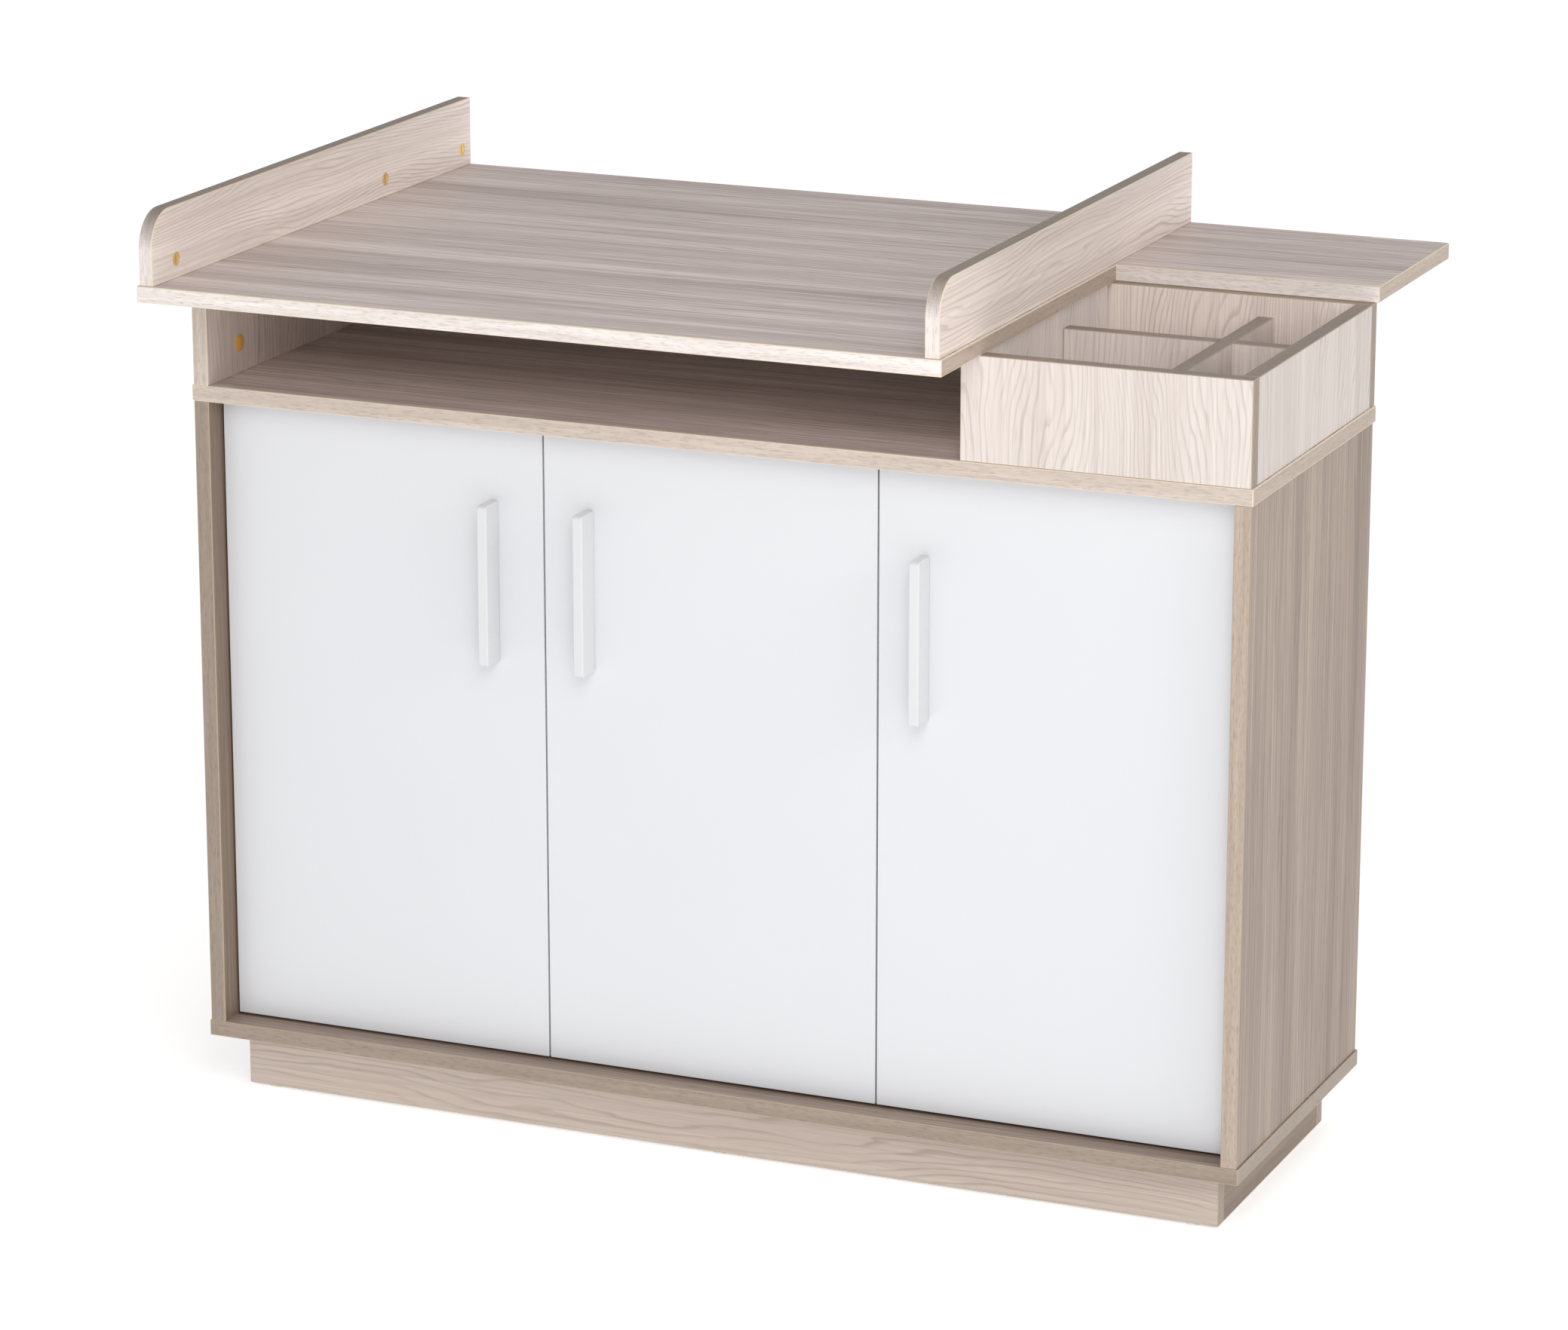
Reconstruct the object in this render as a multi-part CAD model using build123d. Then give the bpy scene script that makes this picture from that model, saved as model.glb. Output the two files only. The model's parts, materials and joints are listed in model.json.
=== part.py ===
"""A changing table: a cabinet on a recessed plinth, three inset doors, an open bay under an
L-shaped changing top with two upstands, and an open organiser box beside it.

Frame: X runs along the cabinet, Y from front to back, Z up.  The origin is on the floor, under
the middle of the top.  All sizes are in millimetres.
"""

from build123d import *
import os

os.makedirs("parts", exist_ok=True)

# ---------------------------------------------------------------- driving dimensions
BOARD = 18.0                  # faced chipboard of the carcass and the top
UPSTAND_BOARD = 16.0          # thinner board of the two upstands
DOOR_BOARD = 16.0             # door leaf
BACK_BOARD = 3.0              # hardboard back

TOP_WIDTH = 1230.0
TOP_DEPTH = 778.0
FRONT_OVERHANG = 112.0        # the top stands out in front of the cabinet by this much
CABINET_WIDTH = 1226.0        # width of the bottom and middle boards
CABINET_DEPTH = 414.0
BOARD_LIP = 2.0               # the horizontal boards stand proud of the side panels

GLIDE_HEIGHT = 2.5
PLINTH_HEIGHT = 63.0
PLINTH_SETBACK_SIDE = 32.0
PLINTH_SETBACK_FRONT = 33.0
PLINTH_SETBACK_BACK = 25.0
SIDE_HEIGHT = 719.0           # clear height behind the doors
BAY_HEIGHT = 114.0            # clear height of the open bay, and of the organiser walls
UPSTAND_HEIGHT = 80.0
UPSTAND_RADIUS = 40.0         # rounded upper front corner
UPSTAND_INSET = 3.0           # from the side edge of the top
UPSTAND_END_INSET = 1.5       # from the front and back edges of the top
CHANGING_WIDTH = 930.0        # the deep left part of the L-shaped top
SHELF_FRONT_LAP = 6.0         # the narrow right part laps the organiser's back wall by this much

ORGANISER_WIDTH = 319.0
DIVIDER_DROP = 23.0           # dividers end this far below the wall tops
DIVIDER_X_SHARE = 0.642       # place of the long divider across the organiser's inside
DIVIDER_Y_SHARE = 0.654       # place of the cross divider from front to back
LAP_PLAY = 0.2                # air on each side of the half-lap slots

DOOR_RECESS = 30.0            # from the cabinet's front plane to the door faces
DOOR_GAP = 2.0
DOOR_TOP_GAP = 3.0            # above and below a door
PARTITION_X = 189.0           # middle of the upright between the double and the single bay
PARTITION_AIR = 2.0           # from a closed door's back to the partition's front edge
SHELF_SETBACK = 20.0          # from a closed door's back to the shelf's front edge
SHELF_PLAY = 0.5
SHELF_BACK_AIR = 5.0

HANDLE_WIDTH = 11.5
HANDLE_STAND_OFF = 31.0
HANDLE_LENGTH = 180.0
HANDLE_SCREW_SPACING = 128.0
HANDLE_EDGE_RADIUS = 1.2
HANDLE_END_RADIUS = 4.0
HANDLE_DROP = 82.0            # from the door's top edge to the handle's top
HANDLE_DROP_RIGHT = 93.0      # the right door's handle sits a little lower
HANDLE_OFF_LEFT = 60.0        # handle's middle from the line where the double doors meet
HANDLE_OFF_MIDDLE = 54.0
HANDLE_OFF_PARTITION = 53.0   # right door's handle, from the partition's middle
SCREW_DIAMETER = 4.0
SCREW_HEAD = 8.0
SCREW_HEAD_HEIGHT = 2.4
SCREW_DEPTH = 12.0            # how far a screw goes into its handle

CAM_DIAMETER = 14.6
CAM_BORE = 15.0
CAM_BORE_DEPTH = 12.5
CAM_RECESS = 1.0
CAM_REACH = 34.0              # from a board's edge to the cam's middle
CAM_FLOOR_AIR = 1.0           # the bolt's bore stays this far above the cam bore's floor
CARCASS_CAM_FRONT = 74.0      # cams of the uprights, from a closed door's back
CARCASS_CAM_BACK = 50.0       # and from the back panel
BAY_CAM_INSET = 73.5          # cams of the bay, from the cabinet's front and back
UPSTAND_CAM_REACH = 21.0
UPSTAND_CAM_FRONT = 53.0      # the three cams of an upstand, along its length
UPSTAND_CAM_MIDDLE = 551.0
UPSTAND_CAM_BACK = 24.0
CAM_SLOT_LENGTH = 9.0
CAM_SLOT_WIDTH = 2.0
CAM_SLOT_DEPTH = 2.5
BOLT_SHANK = 7.0
BOLT_BORE = 8.0
BOLT_THREAD = 5.0
BOLT_THREAD_LENGTH = 11.0
CAP_DIAMETER = 20.0
CAP_RIM = 0.6
CAP_HEIGHT = 2.4
CAP_SPIGOT = 12.0

DOWEL_DIAMETER = 8.0
DOWEL_LENGTH = 30.0
DOWEL_FACE_DEPTH = 10.0       # how far a dowel goes into a board's face
DOWEL_FROM_CAM = 32.0
PLINTH_DOWEL_EDGE = 16.0      # from the plinth's lower and upper edges
RAIL_DOWEL_END = 120.0
WALL_DOWEL_END = 60.0         # organiser's front and back walls
WALL_DOWEL_STEP = 200.0
SIDE_DOWEL_END = 80.0         # organiser's right wall
SIDE_DOWEL_STEP = 250.0
PIN_DIAMETER = 5.0
PIN_LENGTH = 16.0
PIN_FRONT = 40.0              # from the shelf's front edge
PIN_BACK = 52.0
PIN_STAGGER = 16.0            # the two bays' pins stay apart in the partition
NAIL_DIAMETER = 1.6
NAIL_LENGTH = 20.0
NAIL_HEAD = 4.0
NAIL_HEAD_HEIGHT = 0.8
NAIL_EDGE = 5.0               # from the back panel's edge
NAIL_END = 30.0
NAIL_ROWS = 6
BACK_PANEL_AIR = 0.5
BACK_PANEL_INSET = 1.0
GLIDE_DIAMETER = 16.0
GLIDE_CORNER = 30.0           # from the plinth's end

CUP_DIAMETER = 35.0
CUP_DEPTH = 12.0
CUP_PLAY = 0.4
CUP_WALL = 1.0
CUP_HOLLOW_DIAMETER = 31.0
CUP_EDGE_DISTANCE = 22.5      # from the door's hinge edge to the cup's middle
CUP_RIM_DIAMETER = 38.0
CUP_RIM_HEIGHT = 1.0
CUP_BAR_WIDTH = 14.0
CUP_BAR_LENGTH = 62.0
HINGE_END_DISTANCE = 95.0     # from the door's top or bottom edge to the hinge
ARM_AIR = 2.5                 # from the door's back face to the arm
ARM_HEIGHT = 14.0
ARM_THICKNESS = 11.0
ARM_LENGTH = 46.0
ARM_OVERLAP = 1.0
ARM_NOSE_DEPTH = 6.0
PLATE_THICKNESS = 2.0
PLATE_HEIGHT = 52.0
PLATE_DEPTH = 34.0

BUMPER_DIAMETER = 7.0
BUMPER_HEIGHT = 1.5
BUMPER_INSET = 5.0            # from the door's free edge
BUMPER_END = 20.0             # from the right door's top and bottom
STOP_SIZE = 14.0              # height and depth of the block where the double doors meet
STOP_LENGTH = 40.0
BRACKET_LEG = 30.0
BRACKET_WIDTH = 20.0
BRACKET_THICKNESS = 2.0
BRACKET_CORNER = 120.0        # from the plinth's end

# ---------------------------------------------------------------- levels and planes
FRONT = -TOP_DEPTH / 2 + FRONT_OVERHANG
BACK = FRONT + CABINET_DEPTH
TOP_FRONT = -TOP_DEPTH / 2
TOP_BACK = TOP_DEPTH / 2
HALF_TOP = TOP_WIDTH / 2
HALF_CABINET = CABINET_WIDTH / 2
SIDE_OUTER = HALF_CABINET - BOARD_LIP
SIDE_INNER = SIDE_OUTER - BOARD
PANEL_BACK = BACK - BACK_BOARD

BOTTOM_LOW = GLIDE_HEIGHT + PLINTH_HEIGHT
SIDE_LOW = BOTTOM_LOW + BOARD
MIDDLE_LOW = SIDE_LOW + SIDE_HEIGHT
BAY_LOW = MIDDLE_LOW + BOARD
TOP_LOW = BAY_LOW + BAY_HEIGHT
TOP_HIGH = TOP_LOW + BOARD
UPSTAND_HIGH = TOP_HIGH + UPSTAND_HEIGHT
SHELF_LOW = (SIDE_LOW + MIDDLE_LOW - BOARD) / 2

ORGANISER_RIGHT = SIDE_OUTER
ORGANISER_LEFT = ORGANISER_RIGHT - ORGANISER_WIDTH
CHANGING_RIGHT = -HALF_TOP + CHANGING_WIDTH
SHELF_PART_FRONT = BACK - SHELF_FRONT_LAP

DOOR_FACE = FRONT + DOOR_RECESS
DOOR_BACK = DOOR_FACE + DOOR_BOARD
DOOR_LOW = SIDE_LOW + DOOR_TOP_GAP
DOOR_HIGH = MIDDLE_LOW - DOOR_TOP_GAP
PARTITION_FRONT = DOOR_BACK + PARTITION_AIR
SHELF_FRONT = DOOR_BACK + SHELF_SETBACK
ARM_FRONT = DOOR_BACK + ARM_AIR

X_AXIS = Vector(1, 0, 0)
Y_AXIS = Vector(0, 1, 0)
Z_AXIS = Vector(0, 0, 1)

# Pieces gather here by node name: boards as one solid, fittings as a group of solids.
nodes = {}


# ---------------------------------------------------------------- helpers
def block(x, y, z):
    """A square-edged board that spans (low, high) on each axis."""
    spans = (x, y, z)
    size = [high - low for low, high in spans]
    middle = [(low + high) / 2 for low, high in spans]
    return Pos(*middle) * Box(*size)


def rod(start, direction, diameter, length):
    """A round bar that starts at a point and runs along a direction."""
    base = Plane(origin=start, z_dir=direction)
    return base * Cylinder(diameter / 2, length, align=(Align.CENTER, Align.CENTER, Align.MIN))


def add(node, solid):
    """Put one more piece into a node."""
    nodes.setdefault(node, []).append(solid)


def cut(node, tool):
    """Take a tool away from a node that is one board."""
    nodes[node] = [nodes[node][0] - tool]


# ---------------------------------------------------------------- fittings
def cam_joint(carrier, mate, centre, face, towards, reach, group, capped):
    """A cam in the carrier's face pulls a bolt that stands in the mate.

    centre is on the carrier's face, face is its outward normal, towards runs from the cam to
    the carrier's edge, and reach is how far away that edge is.
    """
    centre = Vector(*centre)
    into = face * -1
    level = centre + into * (CAM_BORE_DEPTH - BOLT_BORE / 2 - CAM_FLOOR_AIR)
    edge = level + towards * reach
    cut(carrier, rod(centre, into, CAM_BORE, CAM_BORE_DEPTH))
    cut(carrier, rod(level, towards, BOLT_BORE, reach))
    cut(mate, rod(edge, towards, BOLT_THREAD, BOLT_THREAD_LENGTH))

    cam = rod(centre + into * CAM_RECESS, into, CAM_DIAMETER, CAM_BORE_DEPTH - CAM_RECESS)
    slot_middle = centre + into * (CAM_RECESS + CAM_SLOT_DEPTH / 2)
    across = face.cross(towards)
    for along in (towards, across):
        slot = Plane(origin=slot_middle, x_dir=along, z_dir=face) * Box(
            CAM_SLOT_LENGTH, CAM_SLOT_WIDTH, CAM_SLOT_DEPTH
        )
        cam -= slot
    add(group + "_cams", cam)

    cam_side = CAM_BORE / 2
    shank = rod(level + towards * cam_side, towards, BOLT_SHANK, reach - cam_side)
    thread = rod(edge, towards, BOLT_THREAD, BOLT_THREAD_LENGTH)
    add(group + "_cam_bolts", shank + thread)
    if capped:
        add("cover_caps", cover_cap(centre, face))


def cover_cap(centre, face):
    """A low domed cap that hides a cam, with a spigot that sits in the cam's recess."""
    radius = CAP_DIAMETER / 2
    rise = CAP_HEIGHT - CAP_RIM
    ball_radius = (radius**2 + rise**2) / (2 * rise)
    disc = Cylinder(radius, CAP_HEIGHT, align=(Align.CENTER, Align.CENTER, Align.MIN))
    dome = disc & Pos(0, 0, CAP_HEIGHT - ball_radius) * Sphere(ball_radius)
    spigot = Cylinder(CAP_SPIGOT / 2, CAM_RECESS, align=(Align.CENTER, Align.CENTER, Align.MAX))
    return Plane(origin=centre, z_dir=face) * (dome + spigot)


def dowel(face_node, edge_node, point, into_face):
    """A beech dowel across a joint: short end in a board's face, long end in the other's edge."""
    start = Vector(*point) + into_face * DOWEL_FACE_DEPTH
    pin = rod(start, into_face * -1, DOWEL_DIAMETER, DOWEL_LENGTH)
    cut(face_node, pin)
    cut(edge_node, pin)
    add("wood_dowels", pin)


# ---------------------------------------------------------------- plinth
def make_plinth():
    """Front and back boards cover the ends of the side boards; one rail ties them midway."""
    outer = HALF_CABINET - PLINTH_SETBACK_SIDE
    front = FRONT + PLINTH_SETBACK_FRONT
    back = BACK - PLINTH_SETBACK_BACK
    level = (GLIDE_HEIGHT, BOTTOM_LOW)
    add("plinth_front", block((-outer, outer), (front, front + BOARD), level))
    add("plinth_back", block((-outer, outer), (back - BOARD, back), level))
    between = (front + BOARD, back - BOARD)
    middles = {
        "plinth_side_left": -outer + BOARD / 2,
        "plinth_side_right": outer - BOARD / 2,
        "plinth_rail": PARTITION_X,
    }
    for name, x in middles.items():
        add(name, block((x - BOARD / 2, x + BOARD / 2), between, level))
        for z in (GLIDE_HEIGHT + PLINTH_DOWEL_EDGE, BOTTOM_LOW - PLINTH_DOWEL_EDGE):
            dowel("plinth_front", name, (x, between[0], z), Y_AXIS * -1)
            dowel("plinth_back", name, (x, between[1], z), Y_AXIS)
    for x in (-outer + GLIDE_CORNER, 0, outer - GLIDE_CORNER):
        for y in (front + BOARD / 2, back - BOARD / 2):
            add("floor_glides", rod((x, y, 0), Z_AXIS, GLIDE_DIAMETER, GLIDE_HEIGHT))
    for x in (-outer + BRACKET_CORNER, outer - BRACKET_CORNER):
        add("plinth_brackets", bracket(x, front + BOARD, 1))
        add("plinth_brackets", bracket(x, back - BOARD, -1))


def bracket(x, y, side):
    """A steel angle under the bottom board, against the inside of a plinth board."""
    width = (x - BRACKET_WIDTH / 2, x + BRACKET_WIDTH / 2)
    leg = sorted((y, y + side * BRACKET_THICKNESS))
    foot = sorted((y, y + side * BRACKET_LEG))
    upright = block(width, leg, (BOTTOM_LOW - BRACKET_LEG, BOTTOM_LOW))
    flat = block(width, foot, (BOTTOM_LOW - BRACKET_THICKNESS, BOTTOM_LOW))
    return upright + flat


# ---------------------------------------------------------------- carcass
def make_carcass():
    """Two through boards with the side panels and the partition between them."""
    depth = (FRONT, BACK)
    width = (-HALF_CABINET, HALF_CABINET)
    add("bottom_board", block(width, depth, (BOTTOM_LOW, SIDE_LOW)))
    add("middle_board", block(width, depth, (MIDDLE_LOW, BAY_LOW)))
    uprights = {
        "side_panel_left": (-SIDE_OUTER, FRONT, X_AXIS),
        "side_panel_right": (SIDE_INNER, FRONT, X_AXIS * -1),
        "partition": (PARTITION_X - BOARD / 2, PARTITION_FRONT, X_AXIS),
    }
    for name, (left, front, face) in uprights.items():
        right = left + BOARD
        add(name, block((left, right), (front, PANEL_BACK), (SIDE_LOW, MIDDLE_LOW)))
        cam_x = right if face.X > 0 else left
        middle = (left + right) / 2
        front_cam = DOOR_BACK + CARCASS_CAM_FRONT
        back_cam = PANEL_BACK - CARCASS_CAM_BACK
        for y in (front_cam, back_cam):
            low = (cam_x, y, SIDE_LOW + CAM_REACH)
            high = (cam_x, y, MIDDLE_LOW - CAM_REACH)
            cam_joint(name, "bottom_board", low, face, Z_AXIS * -1, CAM_REACH, "carcass", False)
            cam_joint(name, "middle_board", high, face, Z_AXIS, CAM_REACH, "carcass", False)
        for y in (front_cam + DOWEL_FROM_CAM, back_cam - DOWEL_FROM_CAM):
            dowel("bottom_board", name, (middle, y, SIDE_LOW), Z_AXIS * -1)
            dowel("middle_board", name, (middle, y, MIDDLE_LOW), Z_AXIS)


def make_back_panels():
    """Thin backs are nailed to the rear edges and meet on the partition."""
    low = SIDE_LOW + BACK_PANEL_AIR
    high = MIDDLE_LOW - BACK_PANEL_AIR
    spans = {
        "back_panel_left": (-SIDE_OUTER + BACK_PANEL_INSET, PARTITION_X - BACK_PANEL_AIR),
        "back_panel_right": (PARTITION_X + BACK_PANEL_AIR, SIDE_OUTER - BACK_PANEL_INSET),
    }
    nail_step = (high - low - 2 * NAIL_END) / (NAIL_ROWS - 1)
    for name, (left, right) in spans.items():
        add(name, block((left, right), (PANEL_BACK, BACK), (low, high)))
        for x in (left + NAIL_EDGE, right - NAIL_EDGE):
            for row in range(NAIL_ROWS):
                nail(name, x, low + NAIL_END + row * nail_step)


def nail(panel, x, z):
    """A flat-headed nail through the back panel into the upright behind it."""
    upright = "partition"
    if x < -SIDE_INNER:
        upright = "side_panel_left"
    if x > SIDE_INNER:
        upright = "side_panel_right"
    tip = BACK - NAIL_LENGTH
    shaft = rod((x, tip, z), Y_AXIS, NAIL_DIAMETER, NAIL_LENGTH)
    head = rod((x, BACK - NAIL_HEAD_HEIGHT, z), Y_AXIS, NAIL_HEAD, NAIL_HEAD_HEIGHT)
    cut(panel, shaft + head)
    cut(upright, shaft)
    add("back_nails", shaft + head)


def make_shelves():
    """One loose shelf in each bay, on four pins."""
    bays = {
        "shelf_left": (-SIDE_INNER, PARTITION_X - BOARD / 2, "side_panel_left", "partition"),
        "shelf_right": (PARTITION_X + BOARD / 2, SIDE_INNER, "partition", "side_panel_right"),
    }
    shelf_back = PANEL_BACK - SHELF_BACK_AIR
    pin_z = SHELF_LOW - PIN_DIAMETER / 2
    # Pins on the two faces of the partition are staggered, so that their holes stay apart.
    shifts = {"shelf_left": 0, "shelf_right": PIN_STAGGER}
    for name, (left, right, left_board, right_board) in bays.items():
        span = (left + SHELF_PLAY, right - SHELF_PLAY)
        add(name, block(span, (SHELF_FRONT, shelf_back), (SHELF_LOW, SHELF_LOW + BOARD)))
        front_pin = SHELF_FRONT + PIN_FRONT + shifts[name]
        back_pin = shelf_back - PIN_BACK - shifts[name]
        for y in (front_pin, back_pin):
            for x, board in ((left, left_board), (right, right_board)):
                pin = rod((x - PIN_LENGTH / 2, y, pin_z), X_AXIS, PIN_DIAMETER, PIN_LENGTH)
                cut(board, pin)
                add("shelf_pins", pin)


# ---------------------------------------------------------------- open bay and organiser
def make_bay():
    """The upright at the left end of the open bay, and the rail that closes it behind."""
    height = (BAY_LOW, TOP_LOW)
    left = (-SIDE_OUTER, -SIDE_INNER)
    add("bay_support_left", block(left, (FRONT, BACK), height))
    rail = (BACK - BOARD, BACK)
    add("bay_back_rail", block((-SIDE_INNER, ORGANISER_LEFT), rail, height))
    rail_middle = BACK - BOARD / 2
    for x in (-SIDE_INNER + RAIL_DOWEL_END, ORGANISER_LEFT - RAIL_DOWEL_END):
        dowel("middle_board", "bay_back_rail", (x, rail_middle, BAY_LOW), Z_AXIS * -1)
        dowel("changing_top", "bay_back_rail", (x, rail_middle, TOP_LOW), Z_AXIS)


def make_organiser():
    """Four walls; the front one covers the ends of the side walls, the back one runs behind."""
    height = (BAY_LOW, TOP_LOW)
    inner_left = ORGANISER_LEFT + BOARD
    inner_right = ORGANISER_RIGHT - BOARD
    front_inner = FRONT + BOARD
    back_inner = BACK - BOARD
    across = (ORGANISER_LEFT, ORGANISER_RIGHT)
    along = (front_inner, back_inner)
    add("organiser_front", block(across, (FRONT, front_inner), height))
    add("organiser_back", block(across, (back_inner, BACK), height))
    add("organiser_left", block((ORGANISER_LEFT, inner_left), along, height))
    add("organiser_right", block((inner_right, ORGANISER_RIGHT), along, height))

    divider_top = TOP_LOW - DIVIDER_DROP
    half = (BAY_LOW + divider_top) / 2
    long_x = inner_left + (inner_right - inner_left) * DIVIDER_X_SHARE
    cross_y = front_inner + (back_inner - front_inner) * DIVIDER_Y_SHARE
    long_span = (long_x - BOARD / 2, long_x + BOARD / 2)
    cross_span = (cross_y - BOARD / 2, cross_y + BOARD / 2)
    slot_x = (long_span[0] - LAP_PLAY, long_span[1] + LAP_PLAY)
    slot_y = (cross_span[0] - LAP_PLAY, cross_span[1] + LAP_PLAY)
    long_board = block(long_span, along, (BAY_LOW, divider_top))
    cross_board = block((inner_left, inner_right), cross_span, (BAY_LOW, divider_top))
    add("divider_long", long_board - block(long_span, slot_y, (BAY_LOW, half)))
    add("divider_cross", cross_board - block(slot_x, cross_span, (half, divider_top)))


def join_bay_and_organiser():
    """Cams and dowels that hold the bay's uprights between the middle board and the top."""
    front_y = FRONT + BAY_CAM_INSET
    back_y = BACK - BAY_CAM_INSET
    uprights = {"bay_support_left": -SIDE_INNER, "organiser_left": ORGANISER_LEFT}
    for name, face_x in uprights.items():
        face = X_AXIS if name == "bay_support_left" else X_AXIS * -1
        middle = face_x - face.X * BOARD / 2
        for y in (front_y, back_y):
            low = (face_x, y, BAY_LOW + CAM_REACH)
            high = (face_x, y, TOP_LOW - CAM_REACH)
            cam_joint(name, "middle_board", low, face, Z_AXIS * -1, CAM_REACH, "bay", True)
            cam_joint(name, "changing_top", high, face, Z_AXIS, CAM_REACH, "bay", True)
            dowel("middle_board", name, (middle, y + DOWEL_FROM_CAM, BAY_LOW), Z_AXIS * -1)
            dowel("changing_top", name, (middle, y - DOWEL_FROM_CAM, TOP_LOW), Z_AXIS)
    wall_x = ORGANISER_LEFT + WALL_DOWEL_END
    across = X_AXIS * WALL_DOWEL_STEP
    along = Y_AXIS * SIDE_DOWEL_STEP
    walls = {
        "organiser_front": (wall_x, FRONT + BOARD / 2, across),
        "organiser_back": (wall_x, BACK - BOARD / 2, across),
        "organiser_right": (ORGANISER_RIGHT - BOARD / 2, FRONT + SIDE_DOWEL_END, along),
    }
    for name, (x, y, step) in walls.items():
        start = Vector(x, y, BAY_LOW)
        for point in (start, start + step):
            dowel("middle_board", name, tuple(point), Z_AXIS * -1)


# ---------------------------------------------------------------- changing top and upstands
def make_top():
    """One L-shaped board: the changing surface and, behind the organiser, a narrow shelf."""
    level = (TOP_LOW, TOP_HIGH)
    deep = block((-HALF_TOP, CHANGING_RIGHT), (TOP_FRONT, TOP_BACK), level)
    shelf = block((CHANGING_RIGHT, HALF_TOP), (SHELF_PART_FRONT, TOP_BACK), level)
    add("changing_top", deep + shelf)


def make_upstands():
    """Two low walls along the changing surface, each with one rounded corner and three cams."""
    front = TOP_FRONT + UPSTAND_END_INSET
    back = TOP_BACK - UPSTAND_END_INSET
    left_outer = -HALF_TOP + UPSTAND_INSET
    right_outer = CHANGING_RIGHT - UPSTAND_INSET
    spans = {
        "upstand_left": (left_outer, left_outer + UPSTAND_BOARD, X_AXIS),
        "upstand_right": (right_outer - UPSTAND_BOARD, right_outer, X_AXIS * -1),
    }
    for name, (left, right, face) in spans.items():
        wall = block((left, right), (front, back), (TOP_HIGH, UPSTAND_HIGH))
        corner = wall.edges().filter_by(Axis.X).group_by(Axis.Z)[-1].sort_by(Axis.Y)[0]
        add(name, fillet(corner, UPSTAND_RADIUS))
        face_x = right if face.X > 0 else left
        for y in (front + UPSTAND_CAM_FRONT, front + UPSTAND_CAM_MIDDLE, back - UPSTAND_CAM_BACK):
            centre = (face_x, y, TOP_HIGH + UPSTAND_CAM_REACH)
            down = Z_AXIS * -1
            cam_joint(name, "changing_top", centre, face, down, UPSTAND_CAM_REACH, "upstand", False)


# ---------------------------------------------------------------- doors
def door_plan():
    """Each door's left and right edges, its hinge side, its handle's X and the handle's drop."""
    left_edge = -SIDE_INNER + DOOR_GAP
    partition_left = PARTITION_X - DOOR_GAP / 2
    partition_right = PARTITION_X + DOOR_GAP / 2
    right_edge = SIDE_INNER - DOOR_GAP
    leaf = (partition_left - left_edge - DOOR_GAP) / 2
    meeting = left_edge + leaf + DOOR_GAP / 2
    left_x = meeting - HANDLE_OFF_LEFT
    middle_x = meeting + HANDLE_OFF_MIDDLE
    right_x = PARTITION_X + HANDLE_OFF_PARTITION
    return {
        "door_left": (left_edge, left_edge + leaf, "left", left_x, HANDLE_DROP),
        "door_middle": (partition_left - leaf, partition_left, "right", middle_x, HANDLE_DROP),
        "door_right": (partition_right, right_edge, "right", right_x, HANDLE_DROP_RIGHT),
    }


def make_door(name, left, right, hinge_side, handle_x, handle_drop):
    """A white leaf with its handle, hinge cups, screws and bumpers."""
    panel = name + "_panel"
    add(panel, block((left, right), (DOOR_FACE, DOOR_BACK), (DOOR_LOW, DOOR_HIGH)))
    inwards = 1 if hinge_side == "left" else -1
    hinge_edge = left if hinge_side == "left" else right
    free_edge = right if hinge_side == "left" else left
    cup_x = hinge_edge + inwards * CUP_EDGE_DISTANCE
    for z in (DOOR_LOW + HINGE_END_DISTANCE, DOOR_HIGH - HINGE_END_DISTANCE):
        cut(panel, rod((cup_x, DOOR_BACK, z), Y_AXIS * -1, CUP_DIAMETER, CUP_DEPTH))
        add(name + "_hinge_cups", hinge_cup(cup_x, z))
        make_hinge_arm(hinge_edge, inwards, z)
    make_handle(name, handle_x, DOOR_HIGH - handle_drop)
    # Bumpers meet the stop block between the double doors, or the partition's front edge.
    heights = [DOOR_HIGH - BUMPER_INSET]
    if name == "door_right":
        heights = [DOOR_LOW + BUMPER_END, DOOR_HIGH - BUMPER_END]
    for z in heights:
        x = free_edge - inwards * BUMPER_INSET
        add(name + "_bumpers", rod((x, DOOR_BACK, z), Y_AXIS, BUMPER_DIAMETER, BUMPER_HEIGHT))


def hinge_cup(x, z):
    """A pressed cup in the leaf, with a rim and a fixing bar on the leaf's back."""
    outer = rod((x, DOOR_BACK, z), Y_AXIS * -1, CUP_DIAMETER - CUP_PLAY, CUP_DEPTH)
    rim = rod((x, DOOR_BACK, z), Y_AXIS, CUP_RIM_DIAMETER, CUP_RIM_HEIGHT)
    half_width = CUP_BAR_WIDTH / 2
    half_length = CUP_BAR_LENGTH / 2
    bar = block(
        (x - half_width, x + half_width),
        (DOOR_BACK, DOOR_BACK + CUP_RIM_HEIGHT),
        (z - half_length, z + half_length),
    )
    hollow = rod(
        (x, DOOR_BACK + CUP_RIM_HEIGHT, z),
        Y_AXIS * -1,
        CUP_HOLLOW_DIAMETER,
        CUP_DEPTH + CUP_RIM_HEIGHT - CUP_WALL,
    )
    return outer + rim + bar - hollow


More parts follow.
